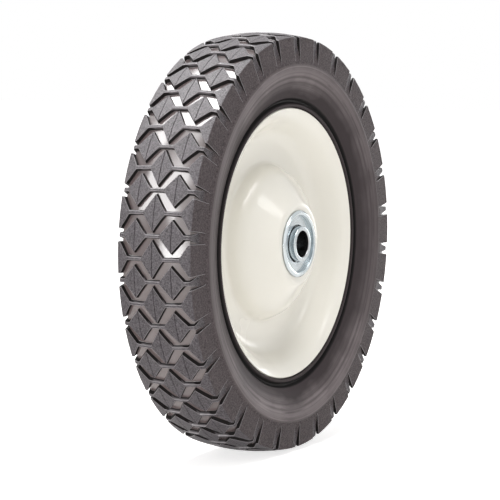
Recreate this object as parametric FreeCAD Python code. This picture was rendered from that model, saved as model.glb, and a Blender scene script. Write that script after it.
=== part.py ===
import FreeCAD, Part
import math
import os
from FreeCAD import Vector

# Lawn mower wheel: a moulded rubber tyre with a diamond tread, held between two pressed steel
# rim halves, turning on two flanged ball bearings with a half inch axle bore.
# Millimetres. The origin is the wheel's centre, Y is the axle, -Y is the outboard side, +Z is up.
# An offset is a distance from the wheel's middle plane along the axle.

# Tyre
tyre_diameter = 203.2
tyre_section_width = 42.4
crown_drop = 2.2
ridge_below_crown = 15.8
ridge_rounding = 1.6
sidewall_bulge = 0.7
sidewall_curve = 60.0
shoulder_groove_width = 1.5
shoulder_groove_depth = 0.9
bead_lip_width = 1.3
bead_lip_rise = 0.5
bead_groove_width = 3.0
bead_groove_depth = 1.5
bead_rounding = 0.4
tyre_foot_width = 6.0
tyre_seat_gap = 0.15
air_chamber_diameter = 19.0
air_chamber_below_crown = 24.0

# Tread
tread_pitches = 30
tread_width = 38.8
tread_depth = 1.8
middle_diamond_width = 12.0
middle_diamond_height = 17.2
side_diamond_width = 13.0
side_diamond_height = 14.8
block_draft_deg = 8.0
tie_bar_top_width = 1.2
tie_bar_foot_width = 1.8
tie_bar_overlap = 1.2
tie_bar_edge_gap = 0.6
slot_width = 6.4
slot_draft_deg = 3.5
slot_depth = 1.7
slot_foot_gap = 0.5
cutting_margin = 2.0

# Rim halves, with the sizes of the face that shows
rim_sheet = 1.2
rim_lip_diameter = 130.2
rim_lip_offset = 15.5
rim_lip_width = 5.1
rim_lip_rise = 2.9
rim_wall_width = 7.5
rim_web_width = 14.2
dome_wall_width = 3.4
dome_wall_height = 8.4
hub_seat_width = 4.4
lip_bend = 12.0
wall_bend = 9.0
crease_bend = 2.5
dome_bend = 14.0
seat_bend = 4.0
collar_bend = 1.5
collar_length = 8.7

# Bearings
axle_bore_diameter = 12.7
hub_length = 46.0
race_stand_out = 2.5
inner_race_wall = 1.3
inner_race_rounding = 0.5
inner_groove_depth = 0.85
ball_diameter = 6.35
ball_depth = 4.9
ball_gap = 0.3
ball_clearance = 0.2
groove_conformity = 0.52
cup_wall = 0.8
cup_groove_depth = 1.5
cup_depth = 8.7
cup_mouth_drop = 0.4
bearing_seat_gap = 0.02
flange_overhang = 0.95
flange_edge = 0.6
flange_crest = 1.5
flange_crest_rounding = 0.9
shield_ledge = 1.0
shield_recess = 0.6
shield_thickness = 0.6
shield_running_gap = 0.7
shield_edge_gap = 0.05
spacer_bore_gap = 0.25
spacer_wall = 1.7

# Sizes that follow from those
crown_radius = tyre_diameter / 2
ridge_radius = crown_radius - ridge_below_crown
ridge_offset = tyre_section_width / 2
groove_radius = ridge_radius + shoulder_groove_width
groove_offset = ridge_offset - shoulder_groove_depth
tread_edge_radius = crown_radius - crown_drop
tread_edge_offset = tread_width / 2
pitch_deg = 360.0 / tread_pitches
clear_radius = crown_radius + cutting_margin
clear_offset = max(ridge_offset, tread_edge_offset) + cutting_margin
block_foot_radius = groove_radius - cutting_margin
bore_radius = axle_bore_diameter / 2
inner_raceway = bore_radius + inner_race_wall
inner_race_radius = inner_raceway + inner_groove_depth
ball_circle_radius = inner_raceway + ball_clearance + ball_diameter / 2
balls_per_bearing = int(math.pi / math.asin((ball_diameter + ball_gap) / 2 / ball_circle_radius))
raceway_radius = ball_diameter * groove_conformity
cup_raceway = ball_circle_radius + ball_diameter / 2 + ball_clearance
cup_land_radius = cup_raceway - cup_groove_depth
cup_mouth_radius = cup_land_radius + shield_ledge
bearing_seat_radius = cup_raceway + cup_wall
hub_seat_offset = hub_length / 2 - race_stand_out
ball_offset = hub_seat_offset - ball_depth
race_end_offset = hub_seat_offset - cup_depth
shield_seat_offset = hub_seat_offset - shield_recess - shield_thickness

origin = Vector(0, 0, 0)
axle = Vector(0, 1, 0)
upwards = Vector(0, 0, 1)


# Sections are drawn outboard in the plane Z = 0, as points of radius and offset
def at(radius, offset, bend=0):
    return Vector(radius, -offset, 0)


def bent_path(corners):
    """Edges through corners of (radius, offset, bend radius), each bend a tangent arc."""
    edges = []
    here = at(*corners[0])
    for before, corner, after in zip(corners, corners[1:], corners[2:]):
        point, bend = at(*corner), corner[2]
        back = (at(*before) - point).normalize()
        onward = (at(*after) - point).normalize()
        half_angle = back.getAngle(onward) / 2
        middle = (back + onward).normalize()
        if bend > 0:
            reach = bend / math.tan(half_angle)
            apex = point + middle * (bend / math.sin(half_angle) - bend)
            edges.append(Part.makeLine(here, point + back * reach))
            here = point + onward * reach
            edges.append(Part.Arc(point + back * reach, apex, here).toShape())
        else:
            edges.append(Part.makeLine(here, point))
            here = point
    edges.append(Part.makeLine(here, at(*corners[-1])))
    return edges


def offset_path(corners, distance):
    """The same path moved by distance to the right of the way along it, with its bends kept true."""
    runs = []
    for first, second in zip(corners, corners[1:]):
        along = (at(*second) - at(*first)).normalize()
        runs.append((along, Vector(along.y, -along.x, 0)))
    start = at(*corners[0]) + runs[0][1] * distance
    moved = [(start.x, -start.y, 0)]
    for corner, (along, right), (next_along, next_right) in zip(corners[1:], runs, runs[1:]):
        point = at(*corner) + (right + next_right) * (distance / (1 + right.dot(next_right)))
        outer = math.copysign(distance, along.cross(next_along).z)
        moved.append((point.x, -point.y, max(corner[2] + outer, 0)))
    end = at(*corners[-1]) + runs[-1][1] * distance
    moved.append((end.x, -end.y, 0))
    return moved


def turned(edges, degrees=360.0):
    """The solid that a closed section sweeps about the axle."""
    wire = Part.Wire(Part.__sortEdges__(edges))
    return Part.Face(wire).revolve(origin, axle, degrees)


def turned_round(shape):
    """The same piece on the other side of the wheel."""
    copy = shape.copy()
    copy.rotate(origin, upwards, 180)
    return copy


# Rim halves
def rim_face():
    """The face that shows, from the lip inwards to the end of the bearing collar."""
    lip_radius = rim_lip_diameter / 2
    wall_radius = lip_radius - rim_lip_width
    web_radius = wall_radius - rim_wall_width
    dome_radius = web_radius - rim_web_width
    return [
        (lip_radius, rim_lip_offset, 0),
        (wall_radius, rim_lip_offset - rim_lip_rise, lip_bend),
        (web_radius, rim_sheet, wall_bend),
        (dome_radius, rim_sheet, crease_bend),
        (dome_radius - dome_wall_width, rim_sheet + dome_wall_height, dome_bend),
        (bearing_seat_radius + hub_seat_width, hub_seat_offset, seat_bend),
        (bearing_seat_radius, hub_seat_offset, collar_bend),
        (bearing_seat_radius, hub_seat_offset - collar_length, 0),
    ]


def rim_half():
    """One pressed disc: sheet of even thickness that meets the other half at its flat web."""
    front = rim_face()
    back = offset_path(front, rim_sheet)
    ends = [Part.makeLine(at(*front[i]), at(*back[i])) for i in (0, -1)]
    return turned(bent_path(front) + bent_path(back) + ends)


# Tyre
def tyre_outline():
    """Half of the section, from the foot along the rim seat and the sidewall to the tread."""
    seat_lip, seat_bend_corner, seat_web = offset_path(rim_face()[:3], rim_sheet + tyre_seat_gap)
    foot_offset = tyre_foot_width / 2
    climb = (foot_offset - seat_web[1]) / (seat_bend_corner[1] - seat_web[1])
    foot_radius = seat_web[0] + climb * (seat_bend_corner[0] - seat_web[0])
    bead_top = rim_lip_offset + bead_lip_rise
    bead_foot = seat_lip[0] + tyre_seat_gap
    bead_crest = bead_foot + bead_lip_width
    sidewall_foot = bead_crest + bead_groove_width
    groove_floor = bead_top - bead_groove_depth
    bulge_radius = (sidewall_foot + ridge_radius) / 2
    bulge_offset = (bead_top + ridge_offset) / 2 + sidewall_bulge
    inwards = at(sidewall_foot, bead_top) - at(bulge_radius, bulge_offset)
    outwards = at(ridge_radius, ridge_offset) - at(bulge_radius, bulge_offset)
    bulge_room = min(inwards.Length - bead_rounding, outwards.Length - ridge_rounding)
    widest_bend = bulge_room * math.tan(inwards.getAngle(outwards) / 2)
    return [
        (foot_radius, foot_offset, 0),
        seat_bend_corner,
        (bead_foot, seat_lip[1], 0),
        (bead_foot, bead_top, bead_rounding),
        (bead_crest, bead_top, bead_rounding),
        (bead_crest + bead_groove_width / 3, groove_floor, bead_rounding),
        (sidewall_foot - bead_groove_width / 3, groove_floor, bead_rounding),
        (sidewall_foot, bead_top, bead_rounding),
        (bulge_radius, bulge_offset, min(sidewall_curve, widest_bend)),
        (ridge_radius, ridge_offset, ridge_rounding),
        (groove_radius, groove_offset, bead_rounding),
        (tread_edge_radius, tread_edge_offset, 0),
    ]


def both_sides(corners):
    """The corners, and back again on the other side of the middle plane."""
    return corners + [(radius, -offset, bend) for radius, offset, bend in reversed(corners)]


def crowned(corners, height):
    """Edges of a section that an arc closes over the top, height in radius at the middle plane."""
    arc = Part.Arc(at(*corners[0]), at(height, 0), at(*corners[-1])).toShape()
    return bent_path(corners) + [arc]


def diamond_halves(width, height, radius):
    """Half width and half height of a tread diamond, which its draft widens towards its foot."""
    wide, high = width / 2, height / 2
    inradius = wide * high / math.hypot(wide, high)
    growth = 1 + (crown_radius - radius) * math.tan(math.radians(block_draft_deg)) / inradius
    return wide * growth, high * growth


# A plan gives a block's corners at a radius, as points of offset and way round the tread
def diamond_plan(centre, width, height):
    def plan(radius):
        wide, high = diamond_halves(width, height, radius)
        return [(centre - wide, 0), (centre, high), (centre + wide, 0), (centre, -high)]
    return plan


def lug_plan(side):
    """Half a middle diamond at the tread's edge, which runs on over the shoulder between two slots."""
    edge, beyond = side * tread_edge_offset, side * clear_offset

    def plan(radius):
        wide, high = diamond_halves(middle_diamond_width, middle_diamond_height, radius)
        slot = slot_width - 2 * (crown_radius - radius) * math.tan(math.radians(slot_draft_deg))
        half = radius * math.tan(math.radians(pitch_deg / 2)) - slot / 2
        tip = edge - side * wide
        corner = tip + side * wide * half / high
        return [(tip, 0), (corner, half), (beyond, half), (beyond, -half), (corner, -half)]
    return plan


def tie_bar_plan(start, end):
    def plan(radius):
        growth = (tie_bar_foot_width - tie_bar_top_width) / tread_depth
        half = (tie_bar_top_width + (crown_radius - radius) * growth) / 2
        return [(start, -half), (start, half), (end, half), (end, -half)]
    return plan


def standing_block(plan, turn):
    """The drafted block that stands on a plan, turned about the axle from +X."""
    foot, top = [
        [Vector(radius, -offset, way) for offset, way in plan(radius)]
        for radius in (block_foot_radius, clear_radius)
    ]
    walls = [[foot[i - 1], foot[i], top[i], top[i - 1]] for i in range(len(foot))]
    faces = [Part.Face(Part.makePolygon(ring + ring[:1])) for ring in [foot, top] + walls]
    block = Part.Solid(Part.Shell(faces))
    block.rotate(origin, axle, turn)
    return block


def pitch_blocks():
    """What stands up in one pitch: diamonds, shoulder lugs and the thin tie bars between them."""
    column = tread_edge_offset / 2
    middle_reach = middle_diamond_width / 2 - tie_bar_overlap
    side_reach = side_diamond_width / 2 - tie_bar_overlap
    plans = [(diamond_plan(0, middle_diamond_width, middle_diamond_height), 0)]
    for side in (-1, 1):
        lug_bar = (side * middle_reach, side * (tread_edge_offset - middle_reach))
        plans.append((lug_plan(side), 0))
        plans.append((tie_bar_plan(*lug_bar), 0))
    for turn in (-pitch_deg / 2, pitch_deg / 2):
        plans.append((tie_bar_plan(side_reach - column, column - side_reach), turn))
        for side in (-1, 1):
            edge_bar = (side * (column + side_reach), side * (tread_edge_offset - tie_bar_edge_gap))
            plans.append((diamond_plan(side * column, side_diamond_width, side_diamond_height), turn))
            plans.append((tie_bar_plan(*edge_bar), turn))
    return [standing_block(plan, turn) for plan, turn in plans]


def groove_outline():
    """Half of the section that is open between the blocks, down to the tread's floor."""
    slot_foot = groove_radius + slot_foot_gap
    climb = slot_foot_gap / (tread_edge_radius - groove_radius)
    slot_foot_offset = groove_offset + climb * (tread_edge_offset - groove_offset)
    return [
        (tread_edge_radius - tread_depth, tread_edge_offset - slot_depth, 0),
        (slot_foot, slot_foot_offset, 0),
        (slot_foot, clear_offset, 0),
        (clear_radius, clear_offset, 0),
    ]


def one_pitch(edges):
    """The part of a turned section that one pitch of the tread takes up, centred on +X."""
    sector = turned(edges, pitch_deg)
    sector.rotate(origin, axle, -pitch_deg / 2)
    return sector


def tyre():
    """One moulding: a pitch is cut from the full section, repeated round and fused."""
    full = one_pitch(crowned(both_sides(tyre_outline()[::-1]), crown_radius))
    hollow = one_pitch(crowned(both_sides(groove_outline()), crown_radius - tread_depth))
    pitch = full.cut(hollow.cut(pitch_blocks()))
    pitches = []
    for number in range(tread_pitches):
        copy = pitch.copy()
        copy.rotate(origin, axle, number * pitch_deg)
        pitches.append(copy)
    ring = pitches[0].multiFuse(pitches[1:]).removeSplitter()
    chamber_circle = crown_radius - air_chamber_below_crown
    chamber = Part.makeTorus(chamber_circle, air_chamber_diameter / 2, origin, axle)
    return ring.cut(chamber)


# Bearings
def with_raceway(corners, land_radius, deepest_radius):
    """A turned ring: corners from land to land, closed by the groove that the balls run in."""
    hollow_side = 1 if deepest_radius > land_radius else -1
    centre = deepest_radius - hollow_side * raceway_radius
    half_span = math.sqrt(raceway_radius ** 2 - (land_radius - centre) ** 2)
    upper = (land_radius, ball_offset + half_span, 0)
    lower = (land_radius, ball_offset - half_span, 0)
    groove = Part.Arc(at(*lower), at(deepest_radius, ball_offset), at(*upper)).toShape()
    return turned(bent_path([upper] + corners + [lower]) + [groove])


def bearing_cup():
    """Outer race, pressed into the rim's collar up to its rolled flange."""
    seat = bearing_seat_radius - bearing_seat_gap
    flange = bearing_seat_radius + flange_overhang
    crest_offset = hub_seat_offset + flange_crest
    corners = [
        (cup_land_radius, shield_seat_offset, 0),
        (cup_mouth_radius, shield_seat_offset, 0),
        (cup_mouth_radius, crest_offset - cup_mouth_drop, 0),
        ((cup_mouth_radius + flange) / 2, crest_offset, flange_crest_rounding),
        (flange, hub_seat_offset + flange_edge, 0),
        (flange, hub_seat_offset, 0),
        (seat, hub_seat_offset, 0),
        (seat, race_end_offset, 0),
        (cup_land_radius, race_end_offset, 0),
    ]
    return with_raceway(corners, cup_land_radius, cup_raceway)


def inner_race():
    """Inner race, long enough to stand out of the cup and meet what the wheel is bolted to."""
    end = hub_length / 2
    corners = [
        (inner_race_radius, end, inner_race_rounding),
        (bore_radius, end, inner_race_rounding),
        (bore_radius, race_end_offset, 0),
        (inner_race_radius, race_end_offset, 0),
    ]
    return with_raceway(corners, inner_race_radius, inner_raceway)


def plain_ring(outer, bore, start, end):
    corners = [(bore, start, 0), (outer, start, 0), (outer, end, 0), (bore, end, 0), (bore, start, 0)]
    return turned(bent_path(corners))


def dust_shield():
    """Washer in the mouth of the cup, clear of the inner race."""
    outer = cup_mouth_radius - shield_edge_gap
    bore = inner_race_radius + shield_running_gap
    return plain_ring(outer, bore, shield_seat_offset, shield_seat_offset + shield_thickness)


def hub_spacer():
    """Tube that keeps the two inner races apart when the axle bolt is tightened."""
    bore = bore_radius + spacer_bore_gap
    return plain_ring(bore + spacer_wall, bore, -race_end_offset, race_end_offset)


def ball(number):
    sphere = Part.makeSphere(ball_diameter / 2, at(ball_circle_radius, ball_offset))
    sphere.rotate(origin, axle, number * 360.0 / balls_per_bearing)
    return sphere


def wheel_nodes():
    """Every piece by its name, with the outboard ones repeated on the inboard side."""
    nodes = {"air_cushion_tyre": tyre(), "hub_spacer": hub_spacer()}
    paired = {
        "rim": rim_half(),
        "bearing_cup": bearing_cup(),
        "dust_shield": dust_shield(),
        "inner_race": inner_race(),
    }
    for number in range(balls_per_bearing):
        paired[f"bearing_ball_{number + 1:02d}"] = ball(number)
    for name, shape in paired.items():
        nodes[f"{name}_outboard"] = shape
        nodes[f"{name}_inboard"] = turned_round(shape)
    return nodes


os.makedirs("parts", exist_ok=True)
for name, shape in wheel_nodes().items():
    shape.exportStep(f"parts/{name}.step")
    print(name, shape.isValid(), len(shape.Solids), len(shape.Faces), round(shape.Volume, 1))
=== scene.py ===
# %% [markdown]
# # A lawn mower wheel
# The wheel has three kinds of piece: a moulded rubber tyre with a diamond tread, a rim of two pressed
# steel discs in cream enamel, and two ball bearings in zinc plate. The frame that is loaded here
# gives every piece at its real size, in metres, with the axle along Y and the side that shows at -Y.
# Everything below is drawn in millimetres, because that is how a wheel is measured, and turned into
# metres when a mesh is made.

# %% Load the fixed frame
import math
import bpy
from mathutils import Matrix, Vector


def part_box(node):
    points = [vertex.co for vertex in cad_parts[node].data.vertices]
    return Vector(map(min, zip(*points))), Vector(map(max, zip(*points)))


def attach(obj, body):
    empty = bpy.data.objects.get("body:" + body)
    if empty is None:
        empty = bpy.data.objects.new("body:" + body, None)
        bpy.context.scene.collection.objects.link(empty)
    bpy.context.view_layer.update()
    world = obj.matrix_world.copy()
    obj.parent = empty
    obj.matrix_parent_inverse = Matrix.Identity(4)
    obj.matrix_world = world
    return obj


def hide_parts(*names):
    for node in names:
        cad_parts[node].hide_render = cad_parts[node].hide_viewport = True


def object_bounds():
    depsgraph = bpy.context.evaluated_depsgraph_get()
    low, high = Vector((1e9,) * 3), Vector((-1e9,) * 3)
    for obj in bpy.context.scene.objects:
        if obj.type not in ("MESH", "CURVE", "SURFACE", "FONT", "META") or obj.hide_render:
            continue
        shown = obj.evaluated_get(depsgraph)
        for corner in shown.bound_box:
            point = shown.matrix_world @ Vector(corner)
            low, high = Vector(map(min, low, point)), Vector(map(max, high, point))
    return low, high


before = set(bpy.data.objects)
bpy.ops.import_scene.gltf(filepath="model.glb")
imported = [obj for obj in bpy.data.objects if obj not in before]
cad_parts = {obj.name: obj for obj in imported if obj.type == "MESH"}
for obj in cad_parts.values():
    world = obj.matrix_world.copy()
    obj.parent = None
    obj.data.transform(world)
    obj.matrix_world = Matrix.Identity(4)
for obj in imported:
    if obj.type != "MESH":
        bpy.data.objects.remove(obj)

cad_low, cad_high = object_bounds()
mm = 0.001
scene = bpy.context.scene
print("wheel size in mm:", [round(side / mm, 1) for side in cad_high - cad_low])

# %% [markdown]
# ## Camera
# A product picture of a wheel is taken from a low height and turned so that the tread and the rim
# both show. A long lens keeps the circles from bulging. The camera stands on a ball round the
# wheel's centre, given by two angles and a distance, and a small shift of the lens sets the framing.

# %% Camera
camera_azimuth = math.radians(-60.78)
camera_elevation = math.radians(5.23)
camera_distance = 1.2

towards_camera = Vector((
    math.sin(camera_azimuth) * math.cos(camera_elevation),
    -math.cos(camera_azimuth) * math.cos(camera_elevation),
    math.sin(camera_elevation),
))
camera_data = bpy.data.cameras.new("product_camera")
camera_data.lens = 177.55
camera_data.shift_x = -0.0225
camera_data.shift_y = -0.0164
camera = bpy.data.objects.new("product_camera", camera_data)
camera.location = towards_camera * camera_distance
camera.rotation_euler = (-towards_camera).to_track_quat("-Z", "Y").to_euler()
scene.collection.objects.link(camera)
scene.camera = camera
print("camera at", [round(value, 3) for value in camera.location])

# %% [markdown]
# ## Helpers for node trees
# Materials and Geometry Nodes are both trees of nodes. One helper makes a node, sets its options and
# fills its inputs, either with a plain value or with a link from another node. That keeps each tree
# below as short as a list of what it does.

# %% Node helpers
def fill(tree, node, inputs):
    """Gives a node's inputs their values, or links from other nodes."""
    for name, value in inputs.items():
        if isinstance(value, bpy.types.NodeSocket):
            tree.links.new(value, node.inputs[name])
        else:
            node.inputs[name].default_value = value


def add_node(tree, kind, inputs=None, **options):
    """A new node with its options set and its inputs filled."""
    node = tree.nodes.new(kind)
    for name, value in options.items():
        setattr(node, name, value)
    fill(tree, node, inputs or {})
    return node


def maths(tree, operation, first, second=0.0):
    """The result of a Math node on two values or sockets."""
    return add_node(tree, "ShaderNodeMath", {0: first, 1: second}, operation=operation).outputs[0]


def scaled(tree, value, low, high, to_low, to_high):
    """A value moved from one range to another and held inside it."""
    node = add_node(tree, "ShaderNodeMapRange", {
        "Value": value, "From Min": low, "From Max": high, "To Min": to_low, "To Max": to_high,
    })
    return node.outputs["Result"]


def mask(tree, value, start, end):
    """A value as 0 up to its start and 1 from its end on."""
    return scaled(tree, value, start, end, 0.0, 1.0)


# %% Mixing helpers
def mixed(tree, factor, first, second):
    """A value between two others."""
    return add_node(tree, "ShaderNodeMix", {"Factor": factor, "A": first, "B": second}).outputs[0]


def blend_of(tree, factor, first, second):
    """A colour between two others. The Mix node has an A for each kind of value, told by identifiers."""
    node = add_node(tree, "ShaderNodeMix", data_type="RGBA")
    sockets = {"Factor_Float": factor, "A_Color": first, "B_Color": second}
    for socket in node.inputs:
        value = sockets.get(socket.identifier)
        if isinstance(value, bpy.types.NodeSocket):
            tree.links.new(value, socket)
        elif value is not None:
            socket.default_value = value
    return next(out for out in node.outputs if out.identifier == "Result_Color")


# %% [markdown]
# ## Helpers for materials
# A material starts from the object's own coordinates, so that its pattern stays with the piece when
# the wheel turns. Noise keeps a surface from looking dead, and a bump gives it relief that is too
# fine to model. On a wheel, the distance from the axle tells which part of a section a point is on.

# %% Material helpers
def new_material(name):
    """A material with its tree, its Principled shader and the object's own coordinates."""
    material = bpy.data.materials.new(name)
    material.use_nodes = True
    tree = material.node_tree
    place = add_node(tree, "ShaderNodeTexCoord").outputs["Object"]
    return material, tree, tree.nodes["Principled BSDF"], place


def parts_of(tree, place):
    """The X, Y and Z of a place."""
    return add_node(tree, "ShaderNodeSeparateXYZ", {"Vector": place}).outputs


def distance_from_axle(tree, place):
    """How far a place lies from the axle, in metres."""
    parts = parts_of(tree, place)
    flat = add_node(tree, "ShaderNodeCombineXYZ", {"X": parts["X"], "Z": parts["Z"]}).outputs[0]
    length = add_node(tree, "ShaderNodeVectorMath", {0: flat}, operation="LENGTH")
    return length.outputs["Value"]


def noise(tree, place, scale, detail=3.0, roughness=0.5):
    """Seamless cloud noise from 0 to 1, with its scale in waves to the metre."""
    node = add_node(tree, "ShaderNodeTexNoise", {
        "Vector": place, "Scale": scale, "Detail": detail, "Roughness": roughness,
    })
    return node.outputs["Fac"]


def bumped(tree, height, strength, distance):
    """A normal that follows a height given from 0 to 1, with the relief's depth in metres."""
    node = add_node(tree, "ShaderNodeBump", {
        "Height": height, "Strength": strength, "Distance": distance,
    })
    return node.outputs["Normal"]


# %% [markdown]
# ## Zones of the tyre
# The tyre is one moulding and gets one material, which has to know where on the tyre it is. The
# distance from the axle tells the sidewall and the groove beside the bead, and the offset from the
# middle tells the shoulders. On the tread, an attribute of the mesh named tread_mark does it. It is 0
# on the tops of the blocks, grows from 0.1 over their edges to 0.5 on their walls, and is 1 on the
# floors of the grooves.

# %% Zones of the tyre
shoulder_offsets = (19.0 * mm, 19.4 * mm)
sidewall_radii = (86.8 * mm, 85.8 * mm)
bead_groove_radius = 68.8 * mm
bead_groove_reach = (1.7 * mm, 1.0 * mm)


def tyre_zones(tree, place):
    """A mask from 0 to 1 for each zone of the tyre that has a finish of its own."""
    radius = distance_from_axle(tree, place)
    offset = maths(tree, "ABSOLUTE", parts_of(tree, place)["Y"])
    from_bead = maths(tree, "ABSOLUTE", maths(tree, "SUBTRACT", radius, bead_groove_radius))
    mark = add_node(tree, "ShaderNodeAttribute", attribute_name="tread_mark").outputs["Fac"]
    past_top = mask(tree, mark, 0.0, 0.1)
    above_wall = mask(tree, mark, 0.45, 0.25)
    return {
        "shoulder": mask(tree, offset, *shoulder_offsets),
        "sidewall": mask(tree, radius, *sidewall_radii),
        "bead_groove": mask(tree, from_bead, *bead_groove_reach),
        # In the rubber's colour, the wall zone is painted shade and the edge zone a painted highlight.
        "wall": mask(tree, mark, 0.1, 0.5),
        "floor": mask(tree, mark, 0.6, 1.0),
        "edge": maths(tree, "MULTIPLY", past_top, above_wall),
    }


def layered(tree, zones, mix, base, layers):
    """A value or colour with others laid over it, each in its own zone."""
    for zone, value in layers.items():
        base = mix(tree, zones[zone], base, value)
    return base


# %% [markdown]
# ## Bloom on the sidewall
# Rubber sweats out a grey film called bloom. It grows outwards from the bead, with a ragged border,
# and thins again towards the ridge. It settles in the turning marks that the mould has left, which
# are fine rings round the axle. A painted sheen goes into the same lighter colour: the band is
# partly real bloom and partly painted sheen. It is made lighter at the top and the foot of the wheel
# than halfway up, as painted sheen where the lamps catch the sidewall.

# %% Bloom and painted sheen on the sidewall
def turning_marks(tree, place, cloud):
    """Noise drawn out to slightly wavy rings round the axle."""
    wave = scaled(tree, cloud, 0.0, 1.0, 0.0, 2.0 * mm)
    rings = add_node(tree, "ShaderNodeCombineXYZ", {"X": distance_from_axle(tree, place), "Y": wave})
    return noise(tree, rings.outputs[0], 600.0, detail=4.0, roughness=0.7)


def sidewall_bloom_and_sheen(tree, place, cloud, marks):
    """How thick the bloom and painted sheen lie, from 0 for bare rubber."""
    radius = distance_from_axle(tree, place)
    height = maths(tree, "ABSOLUTE", parts_of(tree, place)["Z"])
    ragged = scaled(tree, cloud, 0.3, 0.7, -3.0 * mm, 3.0 * mm)
    bloom_and_sheen = mask(tree, maths(tree, "ADD", radius, ragged), 73.0 * mm, 86.0 * mm)
    shares = [
        scaled(tree, marks, 0.35, 0.65, 0.35, 1.0),
        scaled(tree, radius, 82.5 * mm, 86.0 * mm, 1.0, 0.6),
        # Painted sheen: the sidewall is made lighter at the top and the foot of the wheel, where the
        # lamps catch it.
        scaled(tree, height, 20.0 * mm, 75.0 * mm, 0.62, 1.3),
    ]
    for share in shares:
        bloom_and_sheen = maths(tree, "MULTIPLY", bloom_and_sheen, share)
    return bloom_and_sheen


# %% [markdown]
# ## Tyre rubber
# Black rubber is really a dark grey that turns brown as it meets the air. The block tops come out of
# a grained mould and are speckled, and the lugs on the shoulders are more matt. The grooves come out
# of polished steel, which makes their floors glossy. Their walls are painted dark as painted shade,
# and their floors a lighter brown as a painted reflection of the warm floor below. The groove beside
# the bead is painted near black as painted shade. The edges of the blocks are painted light as a
# painted highlight, which draws the outline of every diamond.

# %% Colour and gloss of the rubber
def rubber_colour(tree, zones, speck, bloom_and_sheen):
    top = blend_of(tree, speck, (0.020, 0.017, 0.019, 1), (0.106, 0.091, 0.101, 1))
    return layered(tree, zones, blend_of, top, {
        "shoulder": blend_of(tree, speck, (0.032, 0.026, 0.028, 1), (0.122, 0.101, 0.104, 1)),
        # Bloom and painted sheen: the sidewall turns a lighter grey in the band.
        "sidewall": blend_of(tree, bloom_and_sheen, (0.052, 0.043, 0.045, 1), (0.245, 0.212, 0.216, 1)),
        # Painted shade: the groove beside the bead is near black.
        "bead_groove": (0.010, 0.009, 0.009, 1),
        # Painted shade: the groove walls are painted dark.
        "wall": (0.018, 0.016, 0.016, 1),
        # Painted reflection: the groove floors are a lighter brown, as if they mirrored the warm floor.
        "floor": (0.132, 0.102, 0.101, 1),
        # Painted highlight: a light outline along the edges of the blocks.
        "edge": (0.250, 0.228, 0.240, 1),
    })


def rubber_roughness(tree, zones, grain, cloud):
    return layered(tree, zones, mixed, scaled(tree, grain, 0.3, 0.7, 0.36, 0.54), {
        "shoulder": 0.62,
        "sidewall": scaled(tree, cloud, 0.3, 0.7, 0.36, 0.46),
        "floor": scaled(tree, cloud, 0.3, 0.7, 0.10, 0.20),
        "edge": 0.3,
    })


def rubber_shine(tree, zones, speck, bloom_and_sheen):
    return layered(tree, zones, mixed, scaled(tree, speck, 0.0, 1.0, 0.15, 0.55), {
        "shoulder": 0.12,
        "sidewall": scaled(tree, bloom_and_sheen, 0.0, 1.0, 0.02, 0.06),
        "bead_groove": 0.04,
        "wall": 0.04,
        "floor": 1.0,
        "edge": 1.0,
    })


# %% Tyre rubber
def rubber_relief(tree, zones, grain, marks):
    """Grain on the tops and the lugs, and shallow turning marks on the sidewall."""
    shallow_marks = maths(tree, "MULTIPLY", marks, maths(tree, "MULTIPLY", zones["sidewall"], 0.3))
    ungrained = maths(tree, "MAXIMUM", zones["wall"], zones["sidewall"])
    grained = maths(tree, "SUBTRACT", 1.0, ungrained)
    return maths(tree, "ADD", shallow_marks, maths(tree, "MULTIPLY", grain, grained))


def tyre_rubber():
    material, tree, shader, place = new_material("moulded_rubber")
    zones = tyre_zones(tree, place)
    grain = noise(tree, place, 1250.0, detail=4.0, roughness=0.75)
    speck = mask(tree, grain, 0.34, 0.68)
    cloud = noise(tree, place, 45.0)
    marks = turning_marks(tree, place, cloud)
    bloom_and_sheen = sidewall_bloom_and_sheen(tree, place, cloud, marks)
    fill(tree, shader, {
        "Base Color": rubber_colour(tree, zones, speck, bloom_and_sheen),
        "Roughness": rubber_roughness(tree, zones, grain, cloud),
        "Specular IOR Level": rubber_shine(tree, zones, speck, bloom_and_sheen),
        "Normal": bumped(tree, rubber_relief(tree, zones, grain, marks), 0.7, 0.4 * mm),
    })
    return material


rubber = tyre_rubber()
print("made the finish", rubber.name)

# %% [markdown]
# ## Cream enamel
# The rim is dipped in gloss enamel. Enamel is smooth but never as flat as glass: it has the faint
# ripple that painters call orange peel, and its gloss changes a little from place to place. Both
# come from noise, the gloss from wide clouds and the ripple from a finer, very shallow one.

# %% Cream enamel
def rim_enamel():
    material, tree, shader, place = new_material("cream_enamel")
    cloud = noise(tree, place, 18.0)
    peel = noise(tree, place, 420.0, detail=1.0)
    fill(tree, shader, {
        "Base Color": blend_of(tree, cloud, (0.79, 0.765, 0.695, 1), (0.83, 0.805, 0.735, 1)),
        "Roughness": scaled(tree, cloud, 0.3, 0.7, 0.2, 0.28),
        "Normal": bumped(tree, peel, 0.08, 0.2 * mm),
        "Coat Weight": 0.25,
        "Coat Roughness": 0.08,
    })
    return material


enamel = rim_enamel()
print("made the finish", enamel.name)

# %% [markdown]
# ## Zinc plate and ball steel
# The bearing rings are turned on a lathe and then plated with zinc, which is bright with a cold, blue
# cast. The bore is painted a darker grey, as painted shade inside it. The lathe leaves rings so fine
# that they are felt more than seen, so they are a small bump that follows the distance from the
# axle. The balls are polished, and only their shade and gloss vary a little.

# %% Zinc plate and ball steel
bore_shade_radii = (6.7 * mm, 6.5 * mm)
lathe_feed = 0.3 * mm


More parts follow.
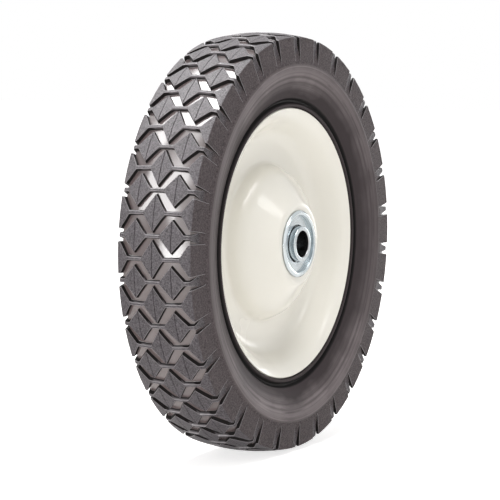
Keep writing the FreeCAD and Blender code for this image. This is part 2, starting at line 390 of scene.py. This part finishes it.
def zinc_plate():
    material, tree, shader, place = new_material("bright_zinc")
    radius = distance_from_axle(tree, place)
    cloud = noise(tree, place, 160.0)
    plate = blend_of(tree, cloud, (0.52, 0.565, 0.585, 1), (0.62, 0.66, 0.68, 1))
    rings = maths(tree, "SINE", maths(tree, "MULTIPLY", radius, 2 * math.pi / lathe_feed))
    fill(tree, shader, {
        # Painted shade: the bore is a darker grey.
        "Base Color": blend_of(tree, mask(tree, radius, *bore_shade_radii), plate, (0.42, 0.42, 0.43, 1)),
        "Roughness": scaled(tree, cloud, 0.3, 0.7, 0.12, 0.22),
        "Normal": bumped(tree, rings, 0.12, 0.02 * mm),
        "Metallic": 1.0,
    })
    return material


def ball_steel():
    material, tree, shader, place = new_material("polished_steel")
    cloud = noise(tree, place, 300.0)
    fill(tree, shader, {
        "Base Color": blend_of(tree, cloud, (0.58, 0.59, 0.60, 1), (0.68, 0.69, 0.70, 1)),
        "Roughness": scaled(tree, cloud, 0.3, 0.7, 0.06, 0.14),
        "Metallic": 1.0,
    })
    return material


zinc = zinc_plate()
steel = ball_steel()
print("made the finishes", zinc.name, "and", steel.name)

# %% [markdown]
# ## Sections
# Everything on a wheel is turned or moulded round one axle, so each piece starts as a section: a
# list of corners, each with its radius, its offset from the wheel's middle plane and the radius of
# its bend. One helper puts a tangent arc at every bend. Another moves a section sideways, as the
# back of a sheet lies one thickness behind its front.

# %% Section helpers
def rounded(corners, closed=False, arc_step=math.radians(15)):
    """Points of radius and offset along the corners, with an arc at each bend."""
    points = []
    last = len(corners) - 1
    for number, (radius, offset, bend) in enumerate(corners):
        corner = Vector((radius, offset))
        if bend <= 0 or (not closed and number in (0, last)):
            points.append(corner)
            continue
        back = (Vector(corners[number - 1][:2]) - corner).normalized()
        onward = (Vector(corners[(number + 1) % len(corners)][:2]) - corner).normalized()
        half_angle = back.angle(onward) / 2
        centre = corner + (back + onward).normalized() * (bend / math.sin(half_angle))
        start = corner + back * (bend / math.tan(half_angle)) - centre
        turn = math.copysign(math.pi - 2 * half_angle, onward.cross(back))
        steps = max(2, math.ceil(abs(turn) / arc_step))
        points += [centre + Matrix.Rotation(turn * step / steps, 2) @ start for step in range(steps + 1)]
    return points


def beside(corners, distance):
    """The corners moved to the left of the way along them, with their bends kept true."""
    runs = []
    for first, second in zip(corners, corners[1:]):
        along = (Vector(second[:2]) - Vector(first[:2])).normalized()
        runs.append((along, Vector((-along.y, along.x))))
    moved = [(*(Vector(corners[0][:2]) + runs[0][1] * distance), 0)]
    for corner, (along, left), (next_along, next_left) in zip(corners[1:], runs, runs[1:]):
        place = Vector(corner[:2]) + (left + next_left) * (distance / (1 + left.dot(next_left)))
        bend = corner[2] - math.copysign(distance, along.cross(next_along))
        moved.append((*place, max(bend, 0)))
    moved.append((*(Vector(corners[-1][:2]) + runs[-1][1] * distance), 0))
    return moved


# %% [markdown]
# ## Rim sizes
# The rim is made first, because the tyre sits in it. The place of the hub seat is read from the frame.
# The corners run along the face that shows, from the lip inwards: a flared wall, a flat web where the
# two discs are welded together, a dome, and the collar that holds the bearing.

# %% Rim sizes
rim_sheet = 1.2
rim_lip_radius = 65.1
rim_lip_offset = 15.5
bearing_seat_radius = 15.2
hub_seat_offset = -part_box("rim_outboard")[0].y / mm
collar_end = hub_seat_offset - 8.7
print("hub seat at", round(hub_seat_offset, 2), "mm from the middle")

rim_face = [
    (rim_lip_radius, rim_lip_offset, 0),
    (60.0, 12.6, 12.0),
    (52.5, rim_sheet, 9.0),
    (38.3, rim_sheet, 2.5),
    (34.9, 9.6, 14.0),
    (19.6, hub_seat_offset, 4.0),
    (bearing_seat_radius, hub_seat_offset, 1.5),
    (bearing_seat_radius, collar_end, 0),
]

# %% [markdown]
# ## Turning a section into a piece
# A lathe turns a section once round the axle. The Screw modifier or the Spin tool would do it, but a
# ring of quads is easily written out, and then it closes on itself with no doubled seam. Each piece
# is turned for the outboard side, and its twin is the same mesh turned half round, never mirrored,
# so that its faces still point outwards.

# %% Lathe helpers
def mesh_from(name, points, faces, material):
    """A mesh that is shaded smooth, with its edges kept crisp."""
    mesh = bpy.data.meshes.new(name)
    mesh.from_pydata(points, [], faces)
    mesh.materials.append(material)
    mesh.shade_smooth()
    mesh.set_sharp_from_angle(angle=math.radians(32))
    return mesh


def turned(name, section, material, steps):
    """The ring that a closed section of radius and offset sweeps about the axle."""
    points = []
    for step in range(steps):
        angle = 2 * math.pi * step / steps
        for radius, offset in section:
            points.append(Vector((radius * math.cos(angle), -offset, radius * math.sin(angle))) * mm)
    count = len(section)
    area = sum(a.cross(b) for a, b in zip(section, section[1:] + section[:1]))
    faces = []
    for step in range(steps):
        here, there = step * count, (step + 1) % steps * count
        for number in range(count):
            after = (number + 1) % count
            face = (here + number, here + after, there + after, there + number)
            faces.append(face if area > 0 else face[::-1])
    return mesh_from(name, points, faces, material)


# %% Placing helpers
def place_piece(name, mesh, node, body):
    """Puts a mesh in the scene in place of a node of the frame."""
    piece = bpy.data.objects.new(name, mesh)
    scene.collection.objects.link(piece)
    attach(piece, body)
    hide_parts(node)


def place_pair(kind, section, material, body, steps=160):
    """The outboard piece of a kind, and its twin turned half round for the inboard side."""
    outboard = turned(f"{kind}_outboard", section, material, steps)
    inboard = outboard.copy()
    inboard.name = f"{kind}_inboard"
    inboard.transform(Matrix.Rotation(math.pi, 4, "Z"))
    for side, mesh in (("outboard", outboard), ("inboard", inboard)):
        place_piece(f"{kind}_{side}_finished", mesh, f"{kind}_{side}", body)
    print("turned", kind, "with", len(outboard.polygons), "faces on each side")


# %% [markdown]
# ## Rim halves
# Each half is one disc of sheet steel. The section runs along the face that shows and comes back one
# sheet behind it, and the cut edge of the lip is eased, as enamel never stays on a sharp edge.

# %% Rim halves
cut_edge = 0.45


def eased_ends(path, bend):
    """A path whose two end corners get a small bend of their own."""
    first, last = path[0], path[-1]
    return [(*first[:2], bend)] + path[1:-1] + [(*last[:2], bend)]


rim_front = eased_ends(rim_face, cut_edge)
rim_back = eased_ends(beside(rim_face, rim_sheet), cut_edge)
fine_step = math.radians(7)
rim_section = rounded(rim_front + rim_back[::-1], closed=True, arc_step=fine_step)
place_pair("rim", rim_section, enamel, "wheel", steps=224)

# %% [markdown]
# ## Bearings
# Each bearing is a cup pressed into the rim, an inner race that the axle passes through, ten balls
# between them and a thin shield that keeps grass out. A groove for the balls is one arc, so a small
# helper works out its points from the two radii that it joins. The flange of the cup is rolled over,
# and every edge has a small bend, because it is the edges that catch the light.

# %% Bearing sizes
bore_radius = 6.35
hub_end = -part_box("inner_race_outboard")[0].y / mm
inner_race_radius = 8.5
inner_raceway = 7.65
cup_radius = bearing_seat_radius - 0.02
cup_land_radius = 12.9
cup_mouth_radius = 13.9
cup_raceway = 14.4
flange_radius = bearing_seat_radius + 0.95
flange_middle = (cup_mouth_radius + flange_radius) / 2
flange_crest = hub_seat_offset + 1.5
ball_offset = hub_seat_offset - 4.9
ball_groove = 3.302
shield_foot = hub_seat_offset - 1.2
shield_face = shield_foot + 0.6
shield_radius = cup_mouth_radius - 0.05
shield_bore = 9.2
small_edge = 0.15
print("balls run", round(ball_offset, 2), "mm from the middle")


# %% Ball groove helpers
def ball_track(land_radius, deepest_radius):
    """Points of the groove that the balls run in, from its inner end to its outer end."""
    side = math.copysign(1, deepest_radius - land_radius)
    centre = Vector((deepest_radius - side * ball_groove, ball_offset))
    half_angle = math.acos((land_radius - centre.x) * side / ball_groove)
    steps = 10
    turns = [half_angle * (2 * step / steps - 1) for step in range(steps + 1)]
    return [centre + ball_groove * Vector((side * math.cos(t), math.sin(t))) for t in turns]


def with_track(corners, land_radius, deepest_radius):
    """A closed section: eased corners, with the ball groove between the last and the first."""
    track = ball_track(land_radius, deepest_radius)
    path = [(*track[-1], 0)] + corners + [(*track[0], 0)]
    return rounded(path) + track[1:-1]


# %% Bearing rings
cup_corners = [
    (cup_land_radius, shield_foot, small_edge),
    (cup_mouth_radius, shield_foot, small_edge),
    (cup_mouth_radius, flange_crest - 0.4, 0.3),
    (flange_middle, flange_crest, 0.9),
    (flange_radius, hub_seat_offset + 0.6, 0.25),
    (flange_radius, hub_seat_offset, small_edge),
    (cup_radius, hub_seat_offset, small_edge),
    (cup_radius, collar_end, 0.4),
    (cup_land_radius, collar_end, small_edge),
]
race_corners = [
    (inner_race_radius, hub_end, 0.5),
    (bore_radius, hub_end, 0.5),
    (bore_radius, collar_end, 0.3),
    (inner_race_radius, collar_end, small_edge),
]
shield_corners = [
    (shield_radius, shield_foot, small_edge),
    (shield_radius, shield_face, small_edge),
    (shield_bore, shield_face, 0.25),
    (shield_bore, shield_foot, small_edge),
]
cup_section = with_track(cup_corners, cup_land_radius, cup_raceway)
race_section = with_track(race_corners, inner_race_radius, inner_raceway)
place_pair("bearing_cup", cup_section, zinc, "wheel")
place_pair("inner_race", race_section, zinc, "hub", steps=128)
place_pair("dust_shield", rounded(shield_corners, closed=True), zinc, "wheel")

# %% [markdown]
# ## Balls and spacer
# The balls and the tube between the two inner races are plain shapes that hide inside the hub. Their
# solids in the frame are already right, so they stay and only get a finish.

# %% Balls and spacer
hidden_finishes = {"bearing_ball": steel, "hub_spacer": zinc}
dressed = 0
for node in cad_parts:
    for start, material in hidden_finishes.items():
        if node.startswith(start):
            solid = bpy.data.objects[node]
            solid.data.materials.clear()
            solid.data.materials.append(material)
            dressed += 1
print("finished", dressed, "pieces inside the hub")

# %% [markdown]
# ## One pitch of the tread
# The tread repeats 30 times round the tyre. One pitch has a diamond in the middle, half diamonds that
# run on over the shoulders as lugs, and half of the diamonds that stand between them, all joined by
# thin tie bars. Seen from above, these make ribbons that run across the tread, wide at a diamond and
# narrow at a tie bar. That gives a neat way to make it: a grid of stations across the tread and rails
# along the ribbons' edges. At each station the rails step from the top of one ribbon, down its
# sloping wall, over the groove's floor and up to the top of the next ribbon.

# %% Tread sizes
tread_pitches = 30
half_pitch = math.pi / tread_pitches
crown_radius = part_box("air_cushion_tyre")[1].z / mm
tread_edge = Vector((crown_radius - 2.2, 19.4))
tread_depth = 1.8
column = tread_edge.y / 2
print("one pitch is", round(2 * half_pitch * crown_radius, 2), "mm long at the crown")

# Half of each diamond's length across the tread, and half of its length round the tyre.
middle_diamond = Vector((6.0, 8.6))
side_diamond = Vector((6.5, 7.4))
block_slope = math.tan(math.radians(8))
tie_bar_top = 0.6
tie_bar_foot = 0.9
tie_bar_end = tread_edge.y - 0.6

# The slots between the shoulder lugs, and the small edges and mould lines of the blocks.
slot_half = 3.2
slot_slope = math.tan(math.radians(3.5))
slot_top = Vector((tread_edge.x - tread_depth, tread_edge.y - 1.7))
slot_foot = Vector((87.8, 20.263))
top_edge = 0.3
floor_edge = 0.16
mould_line_half = 0.2
mould_line_depth = 0.3


# %% Crowned tread
def crowned(middle_radius, edge, offset):
    """The radius at an offset on the arc from the middle of the tread to a point at its edge."""
    drop = middle_radius - edge.x
    arc = (edge.y ** 2 + drop ** 2) / (2 * drop)
    return middle_radius - arc + math.sqrt(arc ** 2 - offset ** 2)


def tread_top(offset):
    return Vector((crowned(crown_radius, tread_edge, offset), offset))


def tread_floor(offset):
    return Vector((crowned(crown_radius - tread_depth, slot_top, offset), offset))


# %% Ribbon widths
def ribbon_half(point, diamond, centres):
    """Half the width of a ribbon at a point: of its nearest diamond, or else of its tie bar."""
    radius, offset = point
    depth = crown_radius - radius
    inradius = diamond.x * diamond.y / diamond.length
    growth = 1 + depth * block_slope / inradius
    away = min(abs(offset - centre) for centre in centres)
    block = growth * diamond.y - away * diamond.y / diamond.x
    bar = tie_bar_top + depth * (tie_bar_foot - tie_bar_top) / tread_depth
    return max(block, bar)


def lug_limit(point):
    """Half the width that the slots beside it leave to a shoulder lug."""
    radius = point.x
    slot = slot_half - (crown_radius - radius) * slot_slope
    return radius * math.tan(half_pitch) - slot


def middle_ribbon(point):
    half = ribbon_half(point, middle_diamond, (-tread_edge.y, 0, tread_edge.y))
    return min(half, lug_limit(point)) if point.y > column else half


def side_ribbon(point):
    return ribbon_half(point, side_diamond, (-column, column))


# %% [markdown]
# ## Rails and stations
# A rail is given by how deep it lies, as a share of the tread's depth there, by how far it is set in
# from the ribbon's edge, and by its tread_mark. The stops below round off the block's top edge and
# the foot of its wall. Tie bars have a lower mark at the top of their walls, so that these thin bars
# keep a painted light edge, a painted highlight, over less of the wall's painted shade. A station
# knows four points of the section: top and floor of the middle ribbon, and of the side one.

# %% Rails
most_bend = 0.45
least_depth = 0.001
marked_depth = 0.3
# The top of a tie bar's wall gets part painted highlight and part painted shade.
bar_mark = 0.3
wall_mark = 0.5


def rails(top, floor, half_width, fillet):
    """Points of one ribbon from its middle line out to the groove's floor, with their tread_mark."""
    depth = (top - floor).length
    edge = min(top_edge, most_bend * depth)
    foot = min(floor_edge, most_bend * depth)
    share = 1 / max(depth, least_depth)
    half_top = half_width(top)
    half_foot = half_width(floor)
    edge_inset = min(top_edge, 0.6 * half_top)
    is_bar = half_top < 1.2 * tie_bar_top
    stops = [
        (0, half_top, 0),
        (0, edge_inset, 0),
        (0.3 * edge * share, 0.3 * edge_inset, 0.1),
        (edge * share, 0, bar_mark if is_bar else wall_mark),
        (1 - foot * share if depth > 0 else 0, 0, wall_mark),
        (1 if depth > 0 else 0, -fillet, 1),
    ]
    points = []
    for deep, inset, mark in stops:
        point = top.lerp(floor, deep)
        across = half_top + (half_foot - half_top) * deep - inset
        points.append((point, across / point.x, mark if depth > marked_depth else 0))
    return points


def pitch_rails(station):
    """One row of points across a pitch, from the middle of one side ribbon to the next."""
    middle_top, middle_floor, side_top, side_floor = station
    room = middle_floor.x * half_pitch - middle_ribbon(middle_floor) - side_ribbon(side_floor)
    fillet = max(0.0, min(floor_edge, 0.48 * room))
    near = rails(middle_top, middle_floor, middle_ribbon, fillet)
    far = rails(side_top, side_floor, side_ribbon, fillet)
    half = near + [(point, half_pitch - angle, mark) for point, angle, mark in reversed(far)]
    return [(point, -angle, mark) for point, angle, mark in reversed(half[1:])] + half


# %% Stations over the tread
before_slots = [16.4, 17.1]


def tread_stations():
    """Stations from the middle of the tread out to where the slots start."""
    tip = middle_diamond.x * (1 - tie_bar_top / middle_diamond.y)
    side_tip = side_diamond.x * (1 - tie_bar_top / side_diamond.y)
    line = mould_line_half
    offsets = [0, line, tip / 2, column - side_tip, tip, column - side_tip / 2, column - line, column]
    offsets += [column + line, column + side_tip / 2, tread_edge.y - tip, column + side_tip]
    stations = []
    for offset in offsets + before_slots:
        top = tread_top(offset)
        floor = tread_floor(offset)
        groove = Vector((mould_line_depth, 0))
        middle_top = top - groove if offset == 0 else top
        side_top = top - groove if offset == column else top
        stations.append((middle_top, floor, side_top, floor))
    return stations


# %% Stations down the shoulder
lug_start = 0.4
lug_bend = 0.45
lug_shares = (0.28, 0.45, 0.62, 0.8, 1)
coarse_step = math.radians(30)

# The end of a tie bar is rounded: how far each point lies back from the end, and how far down.
bar_end_points = [(1.1, 0), (0.6, 0), (0.25, 0.08), (0.08, 0.3), (0, 0.7), (0, 1.6)]


def shoulder_stations():
    """Stations down the shoulder: lug faces in the middle, tie bar ends and slot floors at the sides."""
    shoulder = slot_foot - tread_edge
    path = [
        (*tread_top(slot_top.y + lug_start), 0),
        (*tread_edge, lug_bend),
        (*(tread_edge + shoulder * 0.1), 0),
    ]
    lug = [tread_top(slot_top.y)] + rounded(path, arc_step=coarse_step)
    lug += [tread_edge + shoulder * share for share in lug_shares]
    bar_foot = (tie_bar_end - slot_top.y) / (slot_foot.y - slot_top.y)
    bar = [tread_top(tie_bar_end - back) - Vector((down, 0)) for back, down in bar_end_points]
    stations = []
    for number, face in enumerate(lug):
        if number < len(bar):
            share = bar_foot * number / len(bar)
        else:
            share = bar_foot + (1 - bar_foot) * (number - len(bar)) / (len(lug) - 1 - len(bar))
        floor = slot_top.lerp(slot_foot, share)
        side = bar[number] if number < len(bar) else floor
        stations.append((face, floor, side, floor))
    return stations


# %% [markdown]
# ## Sidewall, bead and seat
# Below the shoulder the tyre is plain and round: a small groove, a ridge, the sidewall, a groove
# beside the bead, the bead that hugs the rim's lip, and the seat inside the rim. The seat is the back
# of the rim's sheet, moved by the small gap that the fit leaves, so it is worked out from the rim's
# own corners.

# %% Sidewall, bead and seat
seat_gap = 0.15
ridge = Vector((crown_radius - 15.8, 21.2))
ridge_bend = 1.6
ridge_groove = ridge + Vector((1.5, -0.9))
wall_bulge = 0.7
wall_bend = 60.0
bead_height = 0.5
bead_width = 1.3
bead_groove_width = 3.0
bead_groove_depth = 1.5
bead_groove_slope = 1.0
bead_rounding = 0.4
foot_offset = 3.0


def lower_stations():
    """Points from the foot of the shoulder slots in to the tyre's foot between the rim halves."""
    seat_lip, seat_corner, seat_web = beside(rim_face[:3], rim_sheet + seat_gap)
    climb = (foot_offset - seat_web[1]) / (seat_corner[1] - seat_web[1])
    foot_radius = seat_web[0] + climb * (seat_corner[0] - seat_web[0])
    bead_top = rim_lip_offset + bead_height
    bead_foot = seat_lip[0] + seat_gap
    bead_crest = bead_foot + bead_width
    groove_floor = bead_top - bead_groove_depth
    wall_foot = bead_crest + bead_groove_width
    return rounded([
        (*slot_foot, 0),
        (*ridge_groove, bead_rounding),
        (*ridge, ridge_bend),
        ((wall_foot + ridge.x) / 2, (bead_top + ridge.y) / 2 + wall_bulge, wall_bend),
        (wall_foot, bead_top, bead_rounding),
        (wall_foot - bead_groove_slope, groove_floor, bead_rounding),
        (bead_crest + bead_groove_slope, groove_floor, bead_rounding),
        (bead_crest, bead_top, bead_rounding),
        (bead_foot, bead_top, bead_rounding),
        (bead_foot, seat_lip[1], 0),
        seat_corner,
        (foot_radius, foot_offset, 0),
    ], arc_step=coarse_step)[1:]


# %% Pitch mesh
def tyre_loop():
    """Rows of points all the way round the tyre's section, each point with its angle and tread_mark."""
    rows = [pitch_rails(station) for station in tread_stations() + shoulder_stations()]
    columns = len(rows[0])
    spread = [half_pitch * (2 * number / (columns - 1) - 1) for number in range(columns)]
    rows += [[(point, angle, 0) for angle in spread] for point in lower_stations()]
    far_side = []
    for row in reversed(rows[1:]):
        far_side.append([(Vector((p.x, -p.y)), angle, mark) for p, angle, mark in row])
    return rows + far_side


def pitch_mesh():
    """One closed band of the tyre, from pitch edge to pitch edge, with its tread_mark."""
    loop = tyre_loop()
    columns = len(loop[0])
    points = [
        Vector((p.x * math.cos(angle), -p.y, p.x * math.sin(angle))) * mm
        for row in loop for p, angle, mark in row
    ]
    faces = []
    for number in range(len(loop)):
        here = number * columns
        there = (number + 1) % len(loop) * columns
        for rail in range(columns - 1):
            faces.append((here + rail, here + rail + 1, there + rail + 1, there + rail))
    mesh = mesh_from("tread_pitch", points, faces, rubber)
    marks = mesh.attributes.new("tread_mark", "FLOAT", "POINT")
    marks.data.foreach_set("value", [mark for row in loop for p, angle, mark in row])
    return mesh


pitch = pitch_mesh()
print("one pitch has", len(pitch.vertices), "points and", len(pitch.polygons), "faces")

# %% [markdown]
# ## The ring of pitches
# Geometry Nodes repeat the pitch. The tree makes as many points as there are pitches, puts the pitch
# on each of them and turns each copy by its number's share of a full turn about the axle. Realize
# Instances makes them real, and Merge by Distance welds each pitch to the next, so that the tyre is
# one closed skin like the moulding that it is.

# %% Ring of pitches
def tread_ring_nodes():
    """The tree that repeats a pitch round the axle, with its sizes as named inputs."""
    tree = bpy.data.node_groups.new("tread_ring", "GeometryNodeTree")
    tree.interface.new_socket("Geometry", in_out="INPUT", socket_type="NodeSocketGeometry")
    tree.interface.new_socket("Pitches", in_out="INPUT", socket_type="NodeSocketInt")
    tree.interface.new_socket("Weld Distance", in_out="INPUT", socket_type="NodeSocketFloat")
    tree.interface.new_socket("Rubber", in_out="INPUT", socket_type="NodeSocketMaterial")
    tree.interface.new_socket("Geometry", in_out="OUTPUT", socket_type="NodeSocketGeometry")
    given = add_node(tree, "NodeGroupInput").outputs
    points = add_node(tree, "GeometryNodePoints", {"Count": given["Pitches"]})
    number = add_node(tree, "GeometryNodeInputIndex").outputs[0]
    step = maths(tree, "DIVIDE", 2 * math.pi, given["Pitches"])
    angle = maths(tree, "MULTIPLY", number, step)
    about_axle = add_node(tree, "ShaderNodeCombineXYZ", {"Y": angle}).outputs[0]
    turn = add_node(tree, "FunctionNodeEulerToRotation", {"Euler": about_axle}).outputs[0]
    copies = add_node(tree, "GeometryNodeInstanceOnPoints", {
        "Points": points.outputs[0], "Instance": given["Geometry"], "Rotation": turn,
    })
    real = add_node(tree, "GeometryNodeRealizeInstances", {"Geometry": copies.outputs[0]})
    welded = add_node(tree, "GeometryNodeMergeByDistance", {
        "Geometry": real.outputs[0], "Distance": given["Weld Distance"],
    })
    finished = add_node(tree, "GeometryNodeSetMaterial", {
        "Geometry": welded.outputs[0], "Material": given["Rubber"],
    })
    add_node(tree, "NodeGroupOutput", {"Geometry": finished.outputs[0]})
    return tree


# %% Repeating the pitch
weld_distance = 0.004 * mm


def repeated(mesh, name):
    """The plain mesh that the ring tree makes of one pitch."""
    holder = bpy.data.objects.new(name, mesh)
    scene.collection.objects.link(holder)
    tree = tread_ring_nodes()
    ring = holder.modifiers.new("tread_ring", "NODES")
    ring.node_group = tree
    settings = {"Pitches": tread_pitches, "Weld Distance": weld_distance, "Rubber": rubber}
    for item in tree.interface.items_tree:
        if item.in_out == "INPUT" and item.name in settings:
            ring[item.identifier] = settings[item.name]
    evaluated = holder.evaluated_get(bpy.context.evaluated_depsgraph_get())
    whole = bpy.data.meshes.new_from_object(evaluated)
    bpy.data.objects.remove(holder)
    return whole


# %% Tyre
tyre_mesh = repeated(pitch, "tread_pitch")
tyre_mesh.name = "tyre"
tyre_mesh.shade_smooth()
tyre_mesh.set_sharp_from_angle(angle=math.radians(21))
place_piece("tyre_finished", tyre_mesh, "air_cushion_tyre", "wheel")
print("the tyre has", len(tyre_mesh.polygons), "faces")

# %% [markdown]
# ## Room and lamps
# The wheel stands in a white room. The room is the world: it looks white to the camera, in reflections
# and through glass, and gives a softer grey light to everything else, which keeps the shading. A wide
# lamp overhead gives most of the light. Others fill in the tread from the left, its foot from low
# down, the rim from the front and the far side from behind. A small one high in front gives a glint.
# The three cards are lamps that only show in gloss: they draw the bright lines in the grooves and
# leave matt surfaces as they are.

# %% World
room_light = 0.32
room_white = 1.0

world = bpy.data.worlds.new("white_room")
scene.world = world
world.use_nodes = True
sky = world.node_tree
rays = add_node(sky, "ShaderNodeLightPath").outputs
seen = maths(sky, "MAXIMUM", rays["Is Camera Ray"], rays["Is Transmission Ray"])
seen = maths(sky, "MAXIMUM", seen, rays["Is Glossy Ray"])
fill(sky, sky.nodes["Background"], {
    "Color": (1, 1, 1, 1),
    "Strength": scaled(sky, seen, 0.0, 1.0, room_light, room_white),
})
print("made the world", world.name)

# %% Lamps
def lamp(name, direction, distance, size, watts):
    """A soft lamp of a width and height that looks at the wheel's centre from a direction."""
    data = bpy.data.lights.new(name, "AREA")
    data.shape = "RECTANGLE"
    data.size, data.size_y = size
    data.energy = watts
    holder = bpy.data.objects.new(name, data)
    away = Vector(direction).normalized()
    holder.location = away * distance
    holder.rotation_euler = (-away).to_track_quat("-Z", "Y").to_euler()
    scene.collection.objects.link(holder)
    print("hung", name, "with", watts, "watts")
    return holder


def card(name, direction, distance, size, watts):
    """A lamp that only shows as a bright card in the gloss of a surface."""
    holder = lamp(name, direction, distance, size, watts)
    holder.visible_diffuse = False


card("card_left", (-0.76, 0.40, 0.45), distance=1.0, size=(0.55, 0.5), watts=6.5)
card("card_top", (-0.06, 0.38, 0.87), distance=1.0, size=(0.8, 0.75), watts=19.0)
lamp("lamp_sky", (-0.15, -0.02, 0.98), distance=1.2, size=(1.0, 1.0), watts=16.0)
lamp("lamp_side", (-0.95, 0.02, 0.35), distance=1.2, size=(0.8, 0.8), watts=2.0)
lamp("lamp_back", (0.20, 0.93, 0.30), distance=1.6, size=(1.4, 1.4), watts=6.0)
lamp("lamp_front", (-0.25, -0.90, 0.35), distance=1.6, size=(1.6, 1.6), watts=2.5)
card("card_right", (1.0, -0.06, 0.03), distance=1.2, size=(0.9, 0.3), watts=2.5)
lamp("lamp_low", (-0.80, 0.10, -0.03), distance=1.2, size=(0.8, 0.12), watts=4.0)
lamp("lamp_corner", (0.20, -0.78, 0.58), distance=1.4, size=(0.35, 0.25), watts=1.1)

# %% [markdown]
# ## Floor
# The floor is matt and pale, and glows a little like a light table, which lights the wheel from below.
# The camera sees it glow more, and fully white away from the wheel, so that floor and room melt into
# one and only the soft shadow under the tyre is left.

# %% Floor
floor_half = 4.0
floor_glow = 0.32


def pale_floor():
    material, tree, shader, place = new_material("pale_floor")
    seen_by_camera = add_node(tree, "ShaderNodeLightPath").outputs["Is Camera Ray"]
    camera_glow = scaled(tree, distance_from_axle(tree, place), 0.15, 0.5, 0.72, 1.0)
    camera_glow = maths(tree, "MULTIPLY", seen_by_camera, camera_glow)
    fill(tree, shader, {
        "Base Color": (0.82, 0.81, 0.79, 1),
        "Roughness": 0.9,
        "Specular IOR Level": 0.0,
        "Emission Color": (1, 1, 1, 1),
        "Emission Strength": maths(tree, "MAXIMUM", camera_glow, floor_glow),
    })
    return material


corners = [(-1, -1), (1, -1), (1, 1), (-1, 1)]
floor_points = [(x * floor_half, y * floor_half, cad_low.z) for x, y in corners]
floor_mesh = bpy.data.meshes.new("floor")
floor_mesh.from_pydata(floor_points, [], [(0, 1, 2, 3)])
floor_mesh.materials.append(pale_floor())
floor = bpy.data.objects.new("floor", floor_mesh)
scene.collection.objects.link(floor)
print("laid the floor", round(-cad_low.z / mm, 1), "mm below the axle")

# %% [markdown]
# ## Finish
# The last cell keeps the standard view, so that colours come out as they are written.

# %% Finish
scene.view_settings.view_transform = "Standard"
